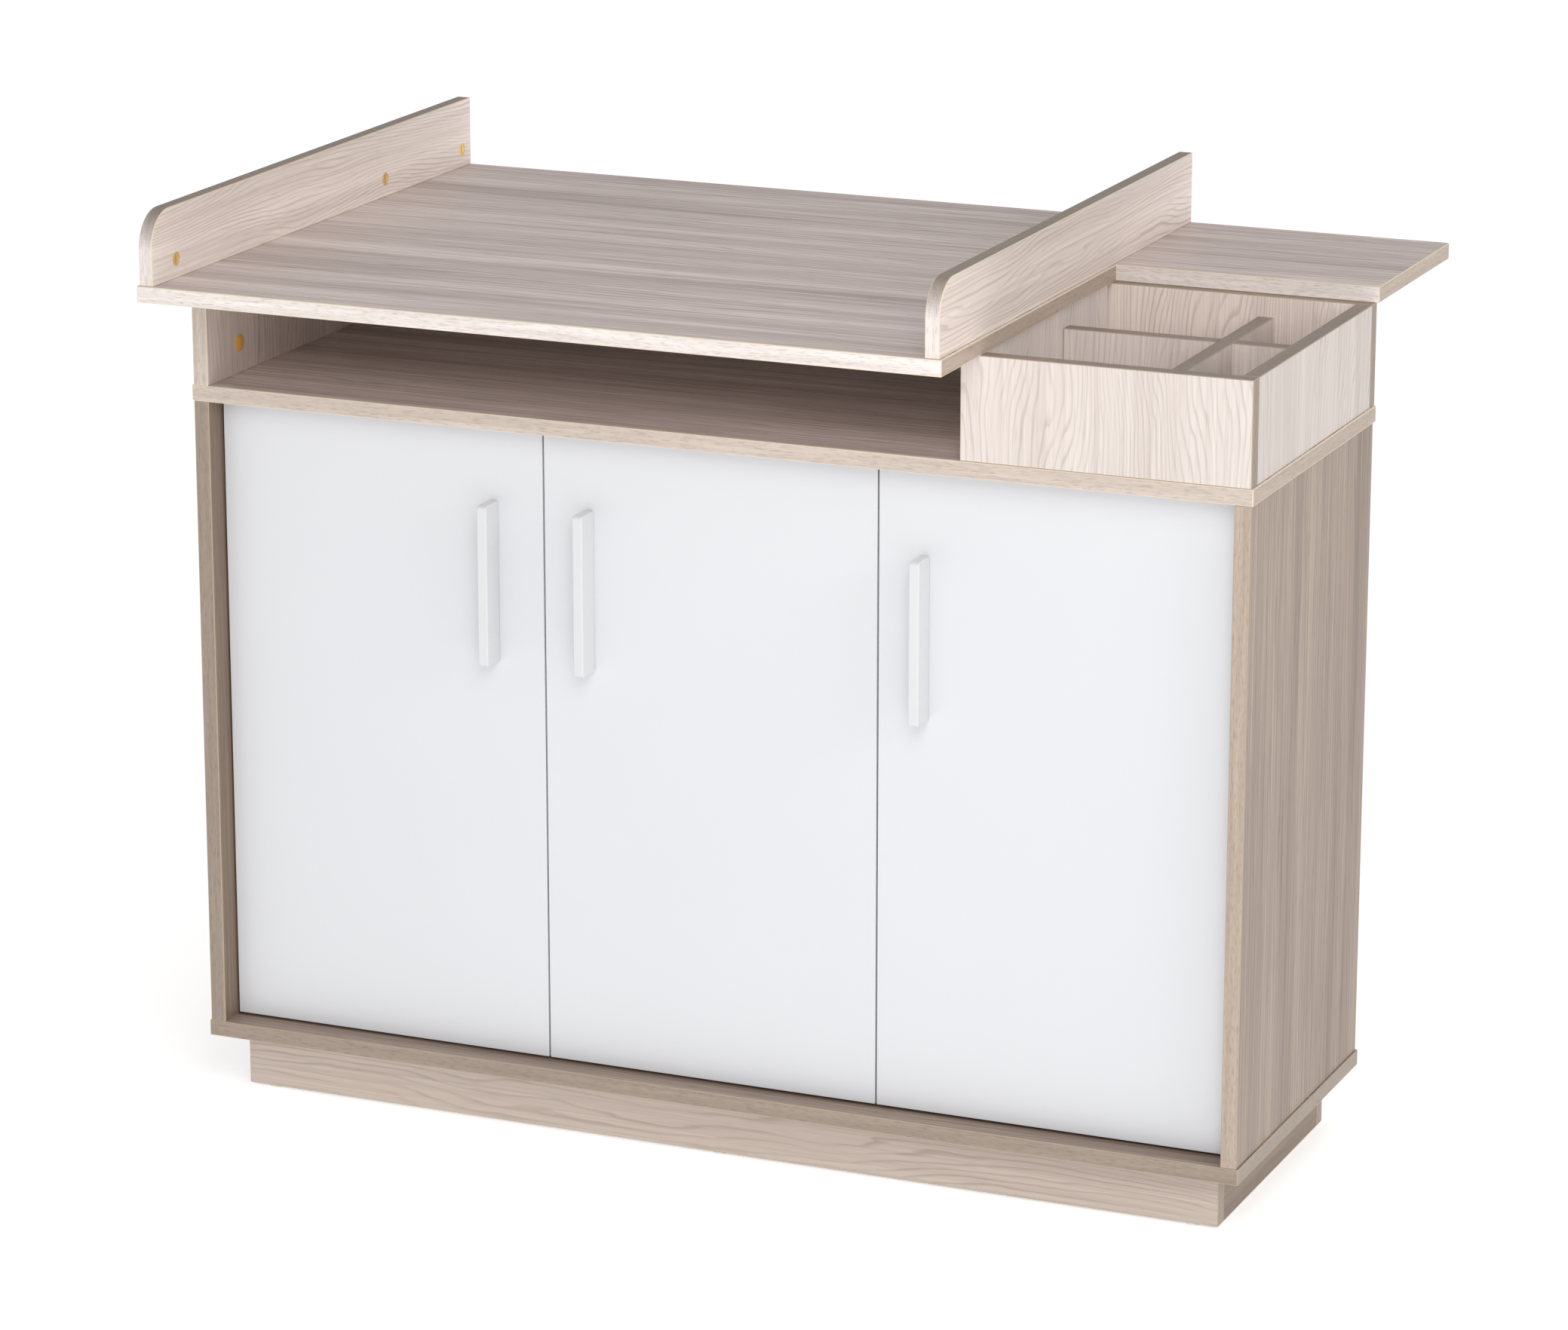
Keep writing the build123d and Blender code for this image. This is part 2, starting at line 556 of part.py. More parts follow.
def make_hinge_arm(hinge_edge, inwards, z):
    """A plate on the upright and the arm on it, which reaches to just behind the cup."""
    wall = hinge_edge - inwards * DOOR_GAP
    if abs(hinge_edge) < SIDE_INNER - 2 * DOOR_GAP:
        wall = PARTITION_X - BOARD / 2
    plate_x = sorted((wall, wall + inwards * PLATE_THICKNESS))
    arm_x = sorted((wall + inwards * PLATE_THICKNESS, wall + inwards * ARM_THICKNESS))
    cup_x = hinge_edge + inwards * CUP_EDGE_DISTANCE
    nose_x = sorted((wall + inwards * (ARM_THICKNESS - ARM_OVERLAP), cup_x))
    half_plate = PLATE_HEIGHT / 2
    half_arm = ARM_HEIGHT / 2
    arm_back = ARM_FRONT + ARM_LENGTH
    plate = block(plate_x, (arm_back - PLATE_DEPTH, arm_back), (z - half_plate, z + half_plate))
    arm = block(arm_x, (ARM_FRONT, arm_back), (z - half_arm, z + half_arm))
    nose = block(nose_x, (ARM_FRONT, ARM_FRONT + ARM_NOSE_DEPTH), (z - half_arm, z + half_arm))
    add("hinge_plates", plate)
    add("hinge_arms", arm + nose)


def make_handle(name, x, top):
    """A solid bar with softened edges, screwed on from the back of the leaf."""
    half = HANDLE_WIDTH / 2
    front = DOOR_FACE - HANDLE_STAND_OFF
    bar = block((x - half, x + half), (front, DOOR_FACE), (top - HANDLE_LENGTH, top))
    ends = bar.edges().filter_by(Axis.X).group_by(Axis.Y)[0]
    bar = fillet(ends, HANDLE_END_RADIUS)
    outer = bar.edges().filter_by(lambda edge: edge.center().Y < DOOR_FACE - HANDLE_EDGE_RADIUS)
    bar = fillet(outer, HANDLE_EDGE_RADIUS)
    middle = top - HANDLE_LENGTH / 2
    panel = name + "_panel"
    for z in (middle - HANDLE_SCREW_SPACING / 2, middle + HANDLE_SCREW_SPACING / 2):
        start = (x, DOOR_FACE - SCREW_DEPTH, z)
        screw = rod(start, Y_AXIS, SCREW_DIAMETER, SCREW_DEPTH + DOOR_BOARD)
        head = rod((x, DOOR_BACK, z), Y_AXIS, SCREW_HEAD, SCREW_HEAD_HEIGHT)
        bar -= screw
        cut(panel, screw)
        add(name + "_handle_screws", screw + head)
    add(name + "_handle", bar)


def make_door_stop():
    """A small block under the middle board, where the double doors meet."""
    _, right, _, _, _ = door_plan()["door_left"]
    middle = right + DOOR_GAP / 2
    width = (middle - STOP_LENGTH / 2, middle + STOP_LENGTH / 2)
    depth = (PARTITION_FRONT, PARTITION_FRONT + STOP_SIZE)
    add("door_stop", block(width, depth, (MIDDLE_LOW - STOP_SIZE, MIDDLE_LOW)))


# ---------------------------------------------------------------- build and write
make_plinth()
make_carcass()
make_back_panels()
make_shelves()
make_top()
make_bay()
make_organiser()
join_bay_and_organiser()
make_upstands()
make_door_stop()
for door_name, plan in door_plan().items():
    make_door(door_name, *plan)

for node_name, pieces in nodes.items():
    shape = pieces[0] if len(pieces) == 1 else Compound(pieces)
    shape.label = node_name
    export_step(shape, f"parts/{node_name}.step")
print(len(nodes), "nodes,", sum(len(pieces) for pieces in nodes.values()), "pieces")
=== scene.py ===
# %% [markdown]
# # A changing table and its finishes
# The object is a wide nursery cabinet of faced chipboard: a plinth, a carcass with three inset
# doors, an open bay, an organiser box and an L-shaped changing top with two upstands.  The CAD
# model already fixes every size, so this script only rebuilds what the eye sees: softened board
# edges, edge bands, wood print, white melamine, handles, fittings, and soft studio light.

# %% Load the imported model
import json
import math

import bpy
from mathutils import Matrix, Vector


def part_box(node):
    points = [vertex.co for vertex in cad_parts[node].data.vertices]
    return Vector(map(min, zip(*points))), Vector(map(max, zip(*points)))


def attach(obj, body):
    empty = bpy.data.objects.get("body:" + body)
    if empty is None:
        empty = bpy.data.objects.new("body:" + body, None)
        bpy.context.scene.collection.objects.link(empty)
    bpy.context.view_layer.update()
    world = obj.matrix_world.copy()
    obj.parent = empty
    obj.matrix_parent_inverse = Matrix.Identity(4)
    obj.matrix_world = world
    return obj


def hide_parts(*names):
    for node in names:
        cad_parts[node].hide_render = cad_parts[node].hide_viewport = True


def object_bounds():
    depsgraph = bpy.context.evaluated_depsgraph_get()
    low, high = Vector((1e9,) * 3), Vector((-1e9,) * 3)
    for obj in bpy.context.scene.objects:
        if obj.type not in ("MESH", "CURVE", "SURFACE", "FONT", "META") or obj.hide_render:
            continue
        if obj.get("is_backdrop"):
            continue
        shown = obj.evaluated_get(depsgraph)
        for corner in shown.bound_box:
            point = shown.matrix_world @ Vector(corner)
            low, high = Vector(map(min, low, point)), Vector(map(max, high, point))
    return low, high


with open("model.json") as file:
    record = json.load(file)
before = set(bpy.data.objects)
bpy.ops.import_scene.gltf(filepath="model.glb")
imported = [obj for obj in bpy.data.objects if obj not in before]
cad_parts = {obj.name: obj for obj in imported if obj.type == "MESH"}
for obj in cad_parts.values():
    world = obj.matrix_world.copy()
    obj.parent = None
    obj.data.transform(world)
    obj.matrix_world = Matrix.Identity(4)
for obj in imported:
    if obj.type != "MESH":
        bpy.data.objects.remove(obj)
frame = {"nodes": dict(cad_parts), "record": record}
CAD_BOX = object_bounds()
BODY_OF = {
    node: body
    for body, members in frame["record"]["behaviour"]["bodies"].items()
    for node in members
}
SLOT_OF = {part["node"]: part["material_slot"] for part in frame["record"]["subparts"]}
print(len(frame["nodes"]), "CAD nodes; the box is", [tuple(corner) for corner in CAD_BOX])

# %% [markdown]
# ## Camera
# The camera stands in front of the right end, well above the top, with a long lens, so that the
# upright edges stay nearly parallel.

# %% Camera
scene = bpy.context.scene
scene.view_settings.view_transform = "Standard"
CAMERA_PLACE = (2.404, -5.688, 2.229)
CAMERA_TURN = 23.12       # degrees about the vertical
CAMERA_DOWN = 15.67       # degrees below the horizon
CAMERA_LENS = 132.0       # millimetres
SENSOR_WIDTH = 36.0       # millimetres

camera_data = bpy.data.cameras.new("view_camera")
camera_data.lens = CAMERA_LENS
camera_data.sensor_width = SENSOR_WIDTH
camera = bpy.data.objects.new("view_camera", camera_data)
camera.location = CAMERA_PLACE
camera.rotation_euler = (math.radians(90 - CAMERA_DOWN), 0, math.radians(CAMERA_TURN))
scene.collection.objects.link(camera)
scene.camera = camera
print("camera", round((camera.location - Vector((0, 0, 0.5))).length, 2), "m from the cabinet")

# %% [markdown]
# ## Light
# The light is a white studio: an even dome for the fill, a low and very soft window in front, a
# weak one from the right, and a softbox in front and another to the right.  A dome alone would be
# flat and small lamps would draw hard shadows, so every lamp is wide.

# %% Light
DOME_STRENGTH = 0.53
WINDOW_POWER, SIDE_POWER = 0.54, 0.13      # watts on a square metre
WINDOW_SPREAD = math.radians(50)
WINDOW_AIM = (0, 0, 0.7)
SOFTBOX_POWER = 21                         # watts

world = bpy.data.worlds.new("studio_dome")
world.use_nodes = True
world.node_tree.nodes["Background"].inputs["Color"].default_value = (1.0, 1.0, 1.0, 1)
world.node_tree.nodes["Background"].inputs["Strength"].default_value = DOME_STRENGTH
scene.world = world


def lamp(kind, name, place, aim, power, **settings):
    """A lamp at a place, turned to a point."""
    data = bpy.data.lights.new(name, kind)
    data.energy = power
    for setting, value in settings.items():
        setattr(data, setting, value)
    made = bpy.data.objects.new(name, data)
    made.location = place
    made.rotation_euler = (Vector(aim) - Vector(place)).to_track_quat("-Z", "Y").to_euler()
    scene.collection.objects.link(made)


def window(name, place, power):
    """Light from far away, wide enough to give very soft shadows."""
    lamp("SUN", name, place, WINDOW_AIM, power, angle=WINDOW_SPREAD)


def softbox(name, place, aim, size):
    """A square lamp of that many metres."""
    lamp("AREA", name, place, aim, SOFTBOX_POWER, shape="SQUARE", size=size)


window("low_window", (1.0, -4.0, 1.7), WINDOW_POWER)
softbox("front_softbox", (1.0, -2.2, 2.3), (0.1, -0.3, 0.95), 1.4)
softbox("right_softbox", (3.2, -0.8, 1.9), (0.4, 0, 0.95), 1.2)
window("side_window", (4.0, -0.4, 1.2), SIDE_POWER)

# %% [markdown]
# ## Small tools
# Every piece is modelled with the same few moves as by hand: deselect, add a primitive, select
# faces or edges by where they are, run an operator, apply a modifier.  These helpers only save
# typing.  The CAD nodes are selected after loading, so everything is deselected first.

# %% Tools for selecting and for applying
MM = 0.001
ROUND_SIDES = 48                    # sides of a cylinder, enough to look round
CORNER_ANGLE = math.radians(40)     # an edge that turns more than this is a corner
SMOOTH_ANGLE = math.radians(35)     # edges that turn less than this are shaded smooth


def only(obj):
    """Make one object the selected and active one."""
    bpy.ops.object.select_all(action="DESELECT")
    obj.select_set(True)
    bpy.context.view_layer.objects.active = obj


def pick_faces(obj, test):
    """Enter edit mode with the faces selected whose middle and normal pass a test."""
    only(obj)
    mesh = obj.data
    mesh.vertices.foreach_set("select", [False] * len(mesh.vertices))
    mesh.edges.foreach_set("select", [False] * len(mesh.edges))
    chosen = [bool(test(polygon.center, polygon.normal)) for polygon in mesh.polygons]
    mesh.polygons.foreach_set("select", chosen)
    bpy.ops.object.mode_set(mode="EDIT")
    bpy.ops.mesh.select_mode(type="FACE")


def pick_edges(obj, test):
    """Enter edit mode with the edges selected whose two ends pass a test."""
    only(obj)
    mesh = obj.data
    points = [vertex.co for vertex in mesh.vertices]
    ends = [(points[edge.vertices[0]], points[edge.vertices[1]]) for edge in mesh.edges]
    chosen = [bool(test(start, end)) for start, end in ends]
    mesh.polygons.foreach_set("select", [False] * len(mesh.polygons))
    mesh.vertices.foreach_set("select", [False] * len(mesh.vertices))
    mesh.edges.foreach_set("select", chosen)
    bpy.ops.object.mode_set(mode="EDIT")
    bpy.ops.mesh.select_mode(type="EDGE")


def leave_edit():
    """Go back to object mode."""
    bpy.ops.object.mode_set(mode="OBJECT")


def settle(obj):
    """Put the object's place, turn and size into its mesh."""
    only(obj)
    bpy.ops.object.transform_apply(location=True, rotation=True, scale=True)


def apply_modifier(obj, kind, **settings):
    """Add one modifier with its settings and apply it."""
    only(obj)
    modifier = obj.modifiers.new(kind.lower(), kind)
    for name, value in settings.items():
        setattr(modifier, name, value)
    bpy.ops.object.modifier_apply(modifier=modifier.name)


def join(name, pieces):
    """Join two or more objects into one."""
    bpy.ops.object.select_all(action="DESELECT")
    for piece in pieces:
        piece.select_set(True)
    bpy.context.view_layer.objects.active = pieces[0]
    bpy.ops.object.join()
    pieces[0].name = name
    return pieces[0]


def copy_to(piece, name, place, turn=0.0):
    """A copy with its own mesh, turned about the vertical and put in its place."""
    twin = piece.copy()
    twin.data = piece.data.copy()
    twin.name = name
    scene.collection.objects.link(twin)
    twin.location = place
    twin.rotation_euler.z = turn
    settle(twin)
    return twin


def finish_piece(piece, node):
    """The piece stands for a CAD node, whose part it hides, and rides on its body."""
    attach(piece, BODY_OF[node])
    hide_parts(node)


# %% [markdown]
# ## Materials: how they are written
# One function turns a hex colour to linear light, and one adds a shader node with its settings
# and links.  Wood print and edge bands read a piece's own attribute called grain, which holds
# metres along the grain, metres across it, and a number that differs for each board, so that no
# two boards show the same figure.

# %% Tools for materials
def linear(hex_colour, lighter=1.0, warmer=0.0):
    """An sRGB hex colour as linear red, green, blue and alpha, made lighter and warmer."""
    coded = [int(hex_colour[start:start + 2], 16) / 255 for start in (1, 3, 5)]
    light = [c / 12.92 if c <= 0.04045 else ((c + 0.055) / 1.055) ** 2.4 for c in coded]
    change = (lighter, lighter * (1 - warmer), lighter * (1 - 1.3 * warmer))
    return (*[min(1.0, part * factor) for part, factor in zip(light, change)], 1.0)


def put(tree, kind, settings=None, inputs=None, out=None):
    """Add a node, set its options, set or link its inputs, and hand back one output."""
    made = tree.nodes.new(kind)
    for name, value in (settings or {}).items():
        setattr(made, name, value)
    for name, value in (inputs or {}).items():
        if isinstance(value, bpy.types.NodeSocket):
            tree.links.new(value, made.inputs[name])
        else:
            made.inputs[name].default_value = value
    return made.outputs[out] if out else next(socket for socket in made.outputs if socket.enabled)


def new_material(name):
    """An empty material: its tree and its Principled shader."""
    material = bpy.data.materials.new(name)
    material.use_nodes = True
    return material, material.node_tree, material.node_tree.nodes["Principled BSDF"]


def stretched_noise(tree, place, along, across, detail=2.0, rough=0.5):
    """Noise with so many waves in a metre along the grain and across it."""
    spot = put(tree, "ShaderNodeMapping", inputs={"Vector": place, "Scale": (along, across, 1)})
    settings = {"Vector": spot, "Scale": 1.0, "Detail": detail, "Roughness": rough}
    return put(tree, "ShaderNodeTexNoise", inputs=settings)


# %% [markdown]
# ## Elm print on melamine
# The boards are chipboard faced with printed paper under melamine: the figure of elm in
# grey-beige, semi-matt, with pores pressed in.  Four layers make it: wide tone bands, narrow
# streaks, growth lines, and short pores.  The growth lines are contour lines of a slow noise, so
# they run straight where it is flat and close into flat-sawn arches where it has a crest.  A wave
# texture would give evenly spaced lines that never close, so the contour method was chosen.
# Real fibres are finer than 0.2 mm; they are drawn about 1.5 mm wide so that they still show.

# %% Noises of the print
PRINT_NOISES = {      # waves in a metre along the grain, waves across it, detail, roughness
    "wander": (7.0, 50.0, 2.0),
    "patches": (4.0, 45.0, 3.0),
    "bands": (0.9, 20.0, 3.0, 0.55),
    "streaks": (2.2, 230.0, 4.0, 0.65),
    "fibres": (14.0, 640.0, 2.0, 0.6),
    "pores": (30.0, 460.0, 1.0),
}
CREST_WAVES = 7.5     # in a metre across the grain, of the slow noise that makes the arches
WANDER_RINGS = 2.2    # how many rings a line strays by in its small waves
LATE_WOOD = 0.55      # the part of a year after which a line darkens,
DARKEST = 0.9         # and after which it fades again


def print_noise(tree, place, layer):
    """One of the print's noises."""
    return stretched_noise(tree, place, *PRINT_NOISES[layer])


print("noises of the print:", list(PRINT_NOISES))

# %% [markdown]
# ### Growth rings
# The height of the slow noise and the place across the board are added and counted in rings.  The
# fraction of a ring is the time of year: a line darkens slowly towards late wood and ends more
# sharply where the next spring begins, as in a real ring-porous wood.  Its ink is weaker in
# patches.  Between the lines lies a ground of bands, streaks and fibres.

# %% Rings and ground
def growth_rings(tree, place, bend, ring_gap, arch):
    """How far the year has gone into late wood, from 0 to 1, at each place of the board."""
    across = put(tree, "ShaderNodeSeparateXYZ", inputs={"Vector": place}, out="Y")
    crest = stretched_noise(tree, place, arch, CREST_WAVES, 2.0, 0.4)
    slope = put(tree, "ShaderNodeMath", {"operation": "MULTIPLY"}, {0: across, 1: 1 / ring_gap})
    bent = {0: crest, 1: bend / ring_gap, 2: slope}
    smooth = put(tree, "ShaderNodeMath", {"operation": "MULTIPLY_ADD"}, bent)
    wander = {0: print_noise(tree, place, "wander"), 1: WANDER_RINGS, 2: smooth}
    height = put(tree, "ShaderNodeMath", {"operation": "MULTIPLY_ADD"}, wander)
    year = put(tree, "ShaderNodeMath", {"operation": "FRACT"}, {0: height})
    late = {"Value": year, "From Min": LATE_WOOD, "From Max": DARKEST}
    fading = {"Value": year, "From Min": DARKEST, "From Max": 1.0}
    rise = put(tree, "ShaderNodeMapRange", {"interpolation_type": "SMOOTHSTEP"}, late)
    drop = put(tree, "ShaderNodeMapRange", inputs=fading)
    return put(tree, "ShaderNodeMath", {"operation": "SUBTRACT"}, {0: rise, 1: drop})


def inked_rings(tree, place, ring, ink):
    """The rings printed with at most that share of ink, weaker in patches."""
    strong = {"Value": print_noise(tree, place, "patches"), "From Min": 0.35, "From Max": 0.62}
    share = put(tree, "ShaderNodeMapRange", inputs={**strong, "To Min": 0.3 * ink, "To Max": ink})
    return put(tree, "ShaderNodeMath", {"operation": "MULTIPLY"}, {0: ring, 1: share})


def streaked_ground(tree, place, fibres, tone, contrast):
    """The ground between the rings: bands, streaks and fibres from a dark to a light tone."""
    bands = print_noise(tree, place, "bands")
    streaks = print_noise(tree, place, "streaks")
    narrow = put(tree, "ShaderNodeMath", {"operation": "MULTIPLY_ADD"}, {0: fibres, 1: 0.4, 2: streaks})
    tones = put(tree, "ShaderNodeMath", {"operation": "ADD"}, {0: bands, 1: narrow})
    level = put(tree, "ShaderNodeMapRange", inputs={"Value": tones, "From Min": 0.92, "From Max": 1.48})
    dark = linear(tone, 1 - 0.3 * contrast, 0.05 * contrast)
    light = linear(tone, 1 + 0.18 * contrast)
    return put(tree, "ShaderNodeMix", {"data_type": "RGBA"}, {"Factor": level, "A": dark, "B": light})


# %% [markdown]
# ### The whole print
# Rings and pores share one dark line colour.  Pores are pressed into the melamine as well as
# printed, so they also go into a shallow bump, and the gloss varies with the fibres: semi-matt,
# with a slight silky streak where light falls low over the board.

# %% Elm print
MELAMINE_IOR = 1.5


def elm_face(name, tone, bend, ring_gap, ink, arch=1.3, contrast=1.0):
    """Printed elm: rings wander by bend and lie ring_gap apart (metres), arch arches in a metre."""
    material, tree, shader = new_material(name)
    place = put(tree, "ShaderNodeAttribute", {"attribute_name": "grain"}, out="Vector")
    line = linear(tone, 0.42, 0.12)
    fibres = print_noise(tree, place, "fibres")
    ground = streaked_ground(tree, place, fibres, tone, contrast)
    rings = inked_rings(tree, place, growth_rings(tree, place, bend, ring_gap, arch), ink)
    with_rings = {"Factor": rings, "A": ground, "B": line}
    drawn = put(tree, "ShaderNodeMix", {"data_type": "RGBA"}, with_rings)
    short = {"Value": print_noise(tree, place, "pores"), "From Min": 0.63, "From Max": 0.76}
    pores = put(tree, "ShaderNodeMapRange", inputs={**short, "To Max": 0.3 * contrast})
    with_pores = {"Factor": pores, "A": drawn, "B": line}
    colour = put(tree, "ShaderNodeMix", {"data_type": "RGBA"}, with_pores)
    tree.links.new(colour, shader.inputs["Base Color"])

    gloss = put(tree, "ShaderNodeMapRange", inputs={"Value": fibres, "To Min": 0.38, "To Max": 0.54})
    tree.links.new(gloss, shader.inputs["Roughness"])
    press = put(tree, "ShaderNodeMath", {"operation": "SUBTRACT"}, {0: fibres, 1: pores})
    relief = {"Height": press, "Strength": 0.12, "Distance": 0.15 * MM}
    tree.links.new(put(tree, "ShaderNodeBump", inputs=relief), shader.inputs["Normal"])
    shader.inputs["IOR"].default_value = MELAMINE_IOR
    return material


ELM_TOP = elm_face("melamine_elm_streaked", "#dacdc8", 0.06, 0.0085, 0.6, arch=0.9, contrast=1.25)
ELM_BAY = elm_face("melamine_elm_bay", "#e0d4ce", 0.07, 0.010, 0.5, contrast=1.3)
# Painted shade: a darker copy of the one elm print, for the side panels, partition, bottom board,
# shelves and the outer faces of the organiser's back and the bay's boards.
ELM_SHADED = elm_face("melamine_elm_upright", "#9c8b7d", 0.07, 0.0085, 0.5, arch=1.0, contrast=1.4)
# Painted shade, deeper still: for the left panel's inner face and the plinth's rail and sides.
ELM_DEEP_SHADED = elm_face("melamine_elm_inside", "#867463", 0.03, 0.011, 0.35)
ELM_PALE = elm_face("melamine_elm_pale", "#d9cfc9", 0.16, 0.0075, 0.34, arch=2.4, contrast=0.5)
# Painted shade on one side: the pale print darkened for the organiser's right-hand face.
ELM_RIGHT_FACE_SHADED = elm_face("melamine_elm_greyer", "#cdc3bd", 0.16, 0.0075, 0.34, arch=2.4, contrast=0.5)
# The upstands' flat-sawn print; on the shaded inner faces of the organiser's back and the bay's upright
# it is painted light.
ELM_FLAT_SAWN_LIT = elm_face("melamine_elm_flat_sawn", "#e9dcd3", 0.13, 0.0052, 0.5, arch=1.9, contrast=0.6)
ELM_PLINTH = elm_face("melamine_elm_plinth", "#c3b5aa", 0.16, 0.010, 0.4, arch=1.6, contrast=0.5)
prints = [finish.name for finish in bpy.data.materials if finish.name.startswith("melamine_elm")]
print("elm prints:", prints)

# %% [markdown]
# ## Edge band and its arris
# The edges carry a 2 mm ABS band with its own print: short dark pores that run along the edge.
# The band is one print in several tones, lighter or darker by how light falls on each edge: painted
# light and shade.  Where the band is rounded off, the cutter goes through the print into the plain
# plastic, so every edge of such furniture has a thin plain line, cream, and light brown as painted
# shade where the band is shaded.

# %% Edge band
ABS_IOR = 1.53


def edge_band(name, tone, shade_tone=None):
    """ABS edge band of one tone, with a second tone as painted shade where the edge turns to look up.
    """
    material, tree, shader = new_material(name)
    place = put(tree, "ShaderNodeAttribute", {"attribute_name": "grain"}, out="Vector")
    cloud = stretched_noise(tree, place, 5.0, 190.0, 3.0)
    level = put(tree, "ShaderNodeMapRange", inputs={"Value": cloud, "From Min": 0.3, "From Max": 0.7})
    short = {"Value": stretched_noise(tree, place, 90.0, 760.0, 2.0), "From Min": 0.5, "From Max": 0.68}
    pores = put(tree, "ShaderNodeMapRange", inputs={**short, "To Max": 0.42})

    def printed(paper):
        """The print in one tone: clouds between a darker and a lighter one, and dark pores."""
        ends = {"Factor": level, "A": linear(paper, 0.88, 0.01), "B": linear(paper, 1.1)}
        ground = put(tree, "ShaderNodeMix", {"data_type": "RGBA"}, ends)
        with_pores = {"Factor": pores, "A": ground, "B": linear(paper, 0.5, 0.08)}
        return put(tree, "ShaderNodeMix", {"data_type": "RGBA"}, with_pores)

    colour = printed(tone)
    # Edges that look up take the second tone: painted shade.
    if shade_tone:
        turn = put(tree, "ShaderNodeAttribute", {"attribute_name": "turn"}, out="Fac")
        ends = {"Factor": turn, "A": colour, "B": printed(shade_tone)}
        colour = put(tree, "ShaderNodeMix", {"data_type": "RGBA"}, ends)
    tree.links.new(colour, shader.inputs["Base Color"])
    relief = {"Height": pores, "Strength": 0.15, "Distance": 0.1 * MM}
    tree.links.new(put(tree, "ShaderNodeBump", {"invert": True}, relief), shader.inputs["Normal"])
    gloss = put(tree, "ShaderNodeMapRange", inputs={"Value": cloud, "To Min": 0.36, "To Max": 0.5})
    tree.links.new(gloss, shader.inputs["Roughness"])
    shader.inputs["IOR"].default_value = ABS_IOR
    return material


# Painted light: the lit copy of the band, on the top's front edge.
BAND_LIT = edge_band("abs_band_pale", "#e8dfd9")
# Pale where it faces forward, with painted shade where the edge looks up.
BAND_UPSTAND_TOP_SHADED = edge_band("abs_band_upstand", "#e5dcd6", "#8f8074")
BAND_MID = edge_band("abs_band_mid", "#cbbdb1")
# Painted shade, slight: on the right-hand edges.
BAND_HALF_SHADED = edge_band("abs_band_warm", "#b3a292")
# Painted shade: on the edges of the bottom board, plinth, left side panel and partition.
BAND_SHADED = edge_band("abs_band_brown", "#998a7b")
# Painted shade, deep: on the organiser's and dividers' edges, whose tops look up.
BAND_DEEP_SHADED = edge_band("abs_band_dark", "#8f8074")
bands = [finish.name for finish in bpy.data.materials if finish.name.startswith("abs_band")]
print("bands:", bands)

# %% [markdown]
# ## White melamine, moulded plastic, metal
# The doors are white melamine with a fine orange-peel press; the handles are moulded and painted
# white; cams are yellow passivated zinc, hinges are nickel plated.  All are smooth, so the detail
# is in slight changes of gloss and a very shallow bump, not in colour.

# %% A smooth finish with a fine grain
CLOUD_WAVES = 7.0      # in a metre, so a change of gloss is about 14 cm wide


def smooth_finish(name, base, low, high, grain, metal=0.0, gap=0.04, depth=0.02):
    """A smooth surface: roughness from low to high, colour within gap, grain in metres, depth in mm."""
    material, tree, shader = new_material(name)
    place = put(tree, "ShaderNodeTexCoord", out="Object")
    fine = put(tree, "ShaderNodeTexNoise", inputs={"Vector": place, "Scale": 1 / grain, "Detail": 2.0})
    slow = {"Vector": place, "Scale": CLOUD_WAVES, "Detail": 3.0}
    cloud = put(tree, "ShaderNodeTexNoise", inputs=slow)
    ends = {"Factor": cloud, "A": linear(base, 1 - gap), "B": linear(base, 1 + gap)}
    tree.links.new(put(tree, "ShaderNodeMix", {"data_type": "RGBA"}, ends), shader.inputs["Base Color"])
    gloss = put(tree, "ShaderNodeMapRange", inputs={"Value": cloud, "To Min": low, "To Max": high})
    tree.links.new(gloss, shader.inputs["Roughness"])
    relief = {"Height": fine, "Strength": 0.1, "Distance": depth * MM}
    tree.links.new(put(tree, "ShaderNodeBump", inputs=relief), shader.inputs["Normal"])
    shader.inputs["Metallic"].default_value = metal
    return material


ARRIS = smooth_finish("abs_cut_cream", "#ddceb4", 0.34, 0.5, 3 * MM, gap=0.1)
# Painted shade: the light brown arris of the bands that carry painted shade.
ARRIS_SHADED = smooth_finish("abs_cut_brown", "#ad9b86", 0.34, 0.5, 3 * MM, gap=0.1)
WHITE_DOOR = smooth_finish("melamine_white", "#dadbde", 0.3, 0.4, 1.5 * MM, gap=0.012)
WHITE_HANDLE = smooth_finish("painted_white_bar", "#d7d8da", 0.32, 0.42, 4 * MM, gap=0.01)
CAM_ZINC = smooth_finish("zinc_yellow_passivated", "#fedc98", 0.5, 0.65, 0.6 * MM, metal=1.0, gap=0.1)
CAP_PLASTIC = smooth_finish("polypropylene_ochre", "#efb45a", 0.4, 0.55, 0.5 * MM)
NICKEL = smooth_finish("nickel_plate", "#c9c6c0", 0.3, 0.42, 0.9 * MM, metal=1.0)
ZINC = smooth_finish("zinc_plate", "#c3c6ca", 0.3, 0.45, 0.7 * MM, metal=1.0)
PLASTIC = smooth_finish("polyethylene_white", "#d9d8d4", 0.45, 0.6, 0.6 * MM)
BUMPER = smooth_finish("polyurethane_clear", "#d4d6d6", 0.15, 0.25, 0.5 * MM)
HARDBOARD = smooth_finish("hardboard_white", "#dddcd8", 0.5, 0.7, 1.2 * MM, gap=0.03, depth=0.06)
